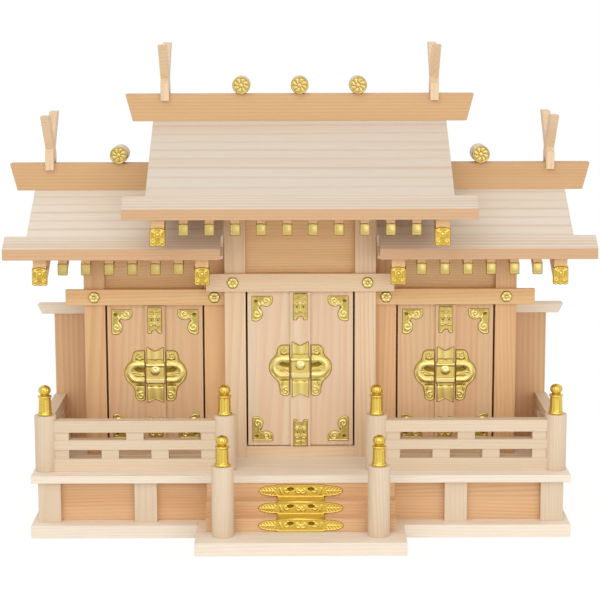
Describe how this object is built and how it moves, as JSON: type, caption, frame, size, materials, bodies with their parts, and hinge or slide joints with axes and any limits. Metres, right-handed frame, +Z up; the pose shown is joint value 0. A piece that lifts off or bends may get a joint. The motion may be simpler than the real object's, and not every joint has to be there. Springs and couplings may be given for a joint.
{
  "type": "household shrine",
  "caption": "Wooden household shrine with three pairs of opening doors, stepped gable roofs, a railed deck, a front stair and brass fittings.",
  "frame": {"origin": "centre of the overall box's underside, on the surface that the base plates stand on", "axes": "+Z up, -Y towards the front with the doors and the stair, +X to the right seen from the front"},
  "size_m": [0.585, 0.269, 0.4734],
  "materials": {
    "hinoki_pale": "planed, unvarnished, pale",
    "hinoki_warm": "planed, unvarnished, warm",
    "brass": "polished and embossed"
  },
  "bodies": {
    "shrine": {"base_plate": "hinoki_pale", "stair_plate": "hinoki_pale", "plinth_posts": "hinoki_pale", "deck": "hinoki_pale", "newel_posts": "hinoki_pale", "front_rails": "hinoki_pale", "side_rails": "hinoki_pale", "sills": "hinoki_pale", "cell_floors": "hinoki_pale", "partitions": "hinoki_pale", "outer_walls": "hinoki_pale", "back_wall": "hinoki_pale", "wing_caps": "hinoki_pale", "centre_roof_front": "hinoki_pale", "centre_roof_rear": "hinoki_pale", "side_roofs_front": "hinoki_pale", "side_roofs_rear": "hinoki_pale", "billets": "hinoki_pale", "forks": "hinoki_pale", "plinth_boards": "hinoki_warm", "steps": "hinoki_warm", "centre_pillars": "hinoki_warm", "side_pillars": "hinoki_warm", "friezes": "hinoki_warm", "centre_lintel": "hinoki_warm", "side_lintels": "hinoki_warm", "wing_screens": "hinoki_warm", "eave_boards": "hinoki_warm", "rafters": "hinoki_warm", "bargeboards": "hinoki_warm", "ridge_boards": "hinoki_warm", "newel_caps": "brass", "nail_covers": "brass", "rafter_caps": "brass", "barge_caps": "brass", "billet_caps": "brass", "step_plates": "brass"},
    "left_door_l": {"left_door_l": "hinoki_warm", "left_fittings_l": "brass"},
    "left_door_r": {"left_door_r": "hinoki_warm", "left_fittings_r": "brass"},
    "centre_door_l": {"centre_door_l": "hinoki_warm", "centre_fittings_l": "brass"},
    "centre_door_r": {"centre_door_r": "hinoki_warm", "centre_fittings_r": "brass"},
    "right_door_l": {"right_door_l": "hinoki_warm", "right_fittings_l": "brass"},
    "right_door_r": {"right_door_r": "hinoki_warm", "right_fittings_r": "brass"}
  },
  "joints": [
    {"name": "left_leaf_l", "type": "hinge", "parent": "shrine", "child": "left_door_l", "pos_m": [-0.1912, 0.0245, 0.07185], "axis": [0, 0, -1], "range_deg": [0, 90]},
    {"name": "left_leaf_r", "type": "hinge", "parent": "shrine", "child": "left_door_r", "pos_m": [-0.1013, 0.0245, 0.07185], "axis": [0, 0, 1], "range_deg": [0, 90]},
    {"name": "centre_leaf_l", "type": "hinge", "parent": "shrine", "child": "centre_door_l", "pos_m": [-0.0497, 0.0125, 0.07185], "axis": [0, 0, -1], "range_deg": [0, 90]},
    {"name": "centre_leaf_r", "type": "hinge", "parent": "shrine", "child": "centre_door_r", "pos_m": [0.0497, 0.0125, 0.07185], "axis": [0, 0, 1], "range_deg": [0, 90]},
    {"name": "right_leaf_l", "type": "hinge", "parent": "shrine", "child": "right_door_l", "pos_m": [0.1013, 0.0245, 0.07185], "axis": [0, 0, -1], "range_deg": [0, 90]},
    {"name": "right_leaf_r", "type": "hinge", "parent": "shrine", "child": "right_door_r", "pos_m": [0.1912, 0.0245, 0.07185], "axis": [0, 0, 1], "range_deg": [0, 90]}
  ],
  "couplings": [
    {"joint": "left_leaf_r", "follows": "left_leaf_l", "ratio": 1},
    {"joint": "centre_leaf_r", "follows": "centre_leaf_l", "ratio": 1},
    {"joint": "right_leaf_r", "follows": "right_leaf_l", "ratio": 1}
  ]
}
